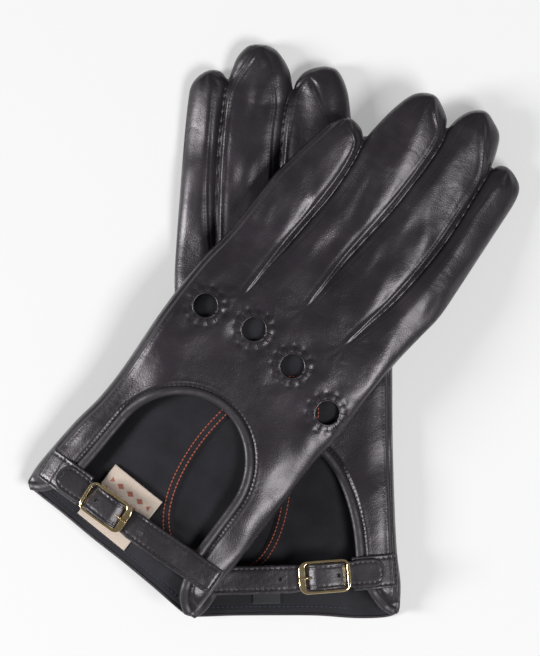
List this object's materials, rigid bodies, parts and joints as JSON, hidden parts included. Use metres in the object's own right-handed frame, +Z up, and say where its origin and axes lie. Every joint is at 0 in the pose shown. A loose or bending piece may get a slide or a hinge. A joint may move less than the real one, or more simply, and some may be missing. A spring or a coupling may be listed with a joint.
{
  "type": "leather driving gloves",
  "caption": "Pair of short leather driving gloves with keyhole backs, knuckle holes and buckled wrist straps, one lying across the other",
  "frame": {"origin": "middle of the pair's footprint, on the table", "axes": "+Z up from the table; +Y along the fingers of the lower, right glove; +X to the right"},
  "size_m": [0.2002, 0.2304, 0.0281],
  "materials": {
    "black_leather": "semi-gloss nappa",
    "binding_leather": "semi-gloss nappa, rolled",
    "strap_leather": "semi-gloss nappa",
    "suede_inside": "matte flesh side",
    "black_thread": "satin thread",
    "rust_thread": "satin thread",
    "gold_metal": "polished",
    "label_fabric": "woven satin",
    "care_tag": "woven satin"
  },
  "bodies": {
    "right_glove": {"right_back_panel": "black_leather", "right_palm_panel": "black_leather", "right_cuff_facing": "suede_inside", "right_fourchette_index_middle": "black_leather", "right_fourchette_middle_ring": "black_leather", "right_fourchette_ring_little": "black_leather", "right_keyhole_binding": "binding_leather", "right_knuckle_stitching": "black_thread", "right_thumb_seam": "rust_thread", "right_strap": "strap_leather", "right_buckle_tab": "strap_leather"},
    "right_thumb": {"right_thumb": "black_leather"},
    "right_buckle": {"right_buckle_frame": "gold_metal"},
    "right_prong": {"right_buckle_prong": "gold_metal"},
    "right_label": {"right_label": "care_tag"},
    "left_glove": {"left_back_panel": "black_leather", "left_palm_panel": "black_leather", "left_cuff_facing": "suede_inside", "left_fourchette_index_middle": "black_leather", "left_fourchette_middle_ring": "black_leather", "left_fourchette_ring_little": "black_leather", "left_keyhole_binding": "binding_leather", "left_knuckle_stitching": "black_thread", "left_thumb_seam": "rust_thread", "left_strap": "strap_leather", "left_buckle_tab": "strap_leather"},
    "left_thumb": {"left_thumb": "black_leather"},
    "left_buckle": {"left_buckle_frame": "gold_metal"},
    "left_prong": {"left_buckle_prong": "gold_metal"},
    "left_label": {"left_label": "label_fabric"}
  },
  "joints": [
    {"name": "left_glove_lift", "type": "slide", "parent": "right_glove", "child": "left_glove", "axis": [0, 0, 1], "range_m": [0, 0.15]},
    {"name": "right_thumb_swing", "type": "hinge", "parent": "right_glove", "child": "right_thumb", "pos_m": [-0.01685, -0.07487, 0.0018], "axis": [0, 0, 1], "range_deg": [-8, 40]},
    {"name": "right_buckle_rock", "type": "hinge", "parent": "right_glove", "child": "right_buckle", "pos_m": [0.02046, -0.09802, 0.01401], "axis": [-0.0785, 0.9969, 0], "range_deg": [-2.5, 2.5]},
    {"name": "right_prong_lift", "type": "hinge", "parent": "right_buckle", "child": "right_prong", "pos_m": [0.02046, -0.09802, 0.01401], "axis": [-0.0785, 0.9969, 0], "range_deg": [0, 8]},
    {"name": "right_label_flap", "type": "hinge", "parent": "right_glove", "child": "right_label", "pos_m": [-0.00274, -0.10963, 0.00318], "axis": [0.9998, 0.0175, 0], "range_deg": [0, 10]},
    {"name": "left_thumb_swing", "type": "hinge", "parent": "left_glove", "child": "left_thumb", "pos_m": [-0.02273, -0.07153, 0.0157], "axis": [0, 0, -1], "range_deg": [-8, 40]},
    {"name": "left_buckle_rock", "type": "hinge", "parent": "left_glove", "child": "left_buckle", "pos_m": [-0.06616, -0.07003, 0.02259], "axis": [-0.5411, -0.8295, -0.1383], "range_deg": [-2.5, 2.5]},
    {"name": "left_prong_lift", "type": "hinge", "parent": "left_buckle", "child": "left_prong", "pos_m": [-0.06616, -0.07003, 0.02259], "axis": [-0.5411, -0.8295, -0.1383], "range_deg": [0, 8]},
    {"name": "left_label_flap", "type": "hinge", "parent": "left_glove", "child": "left_label", "pos_m": [-0.06924, -0.08041, 0.01108], "axis": [0.7848, -0.6198, 0], "range_deg": [0, 10]}
  ]
}
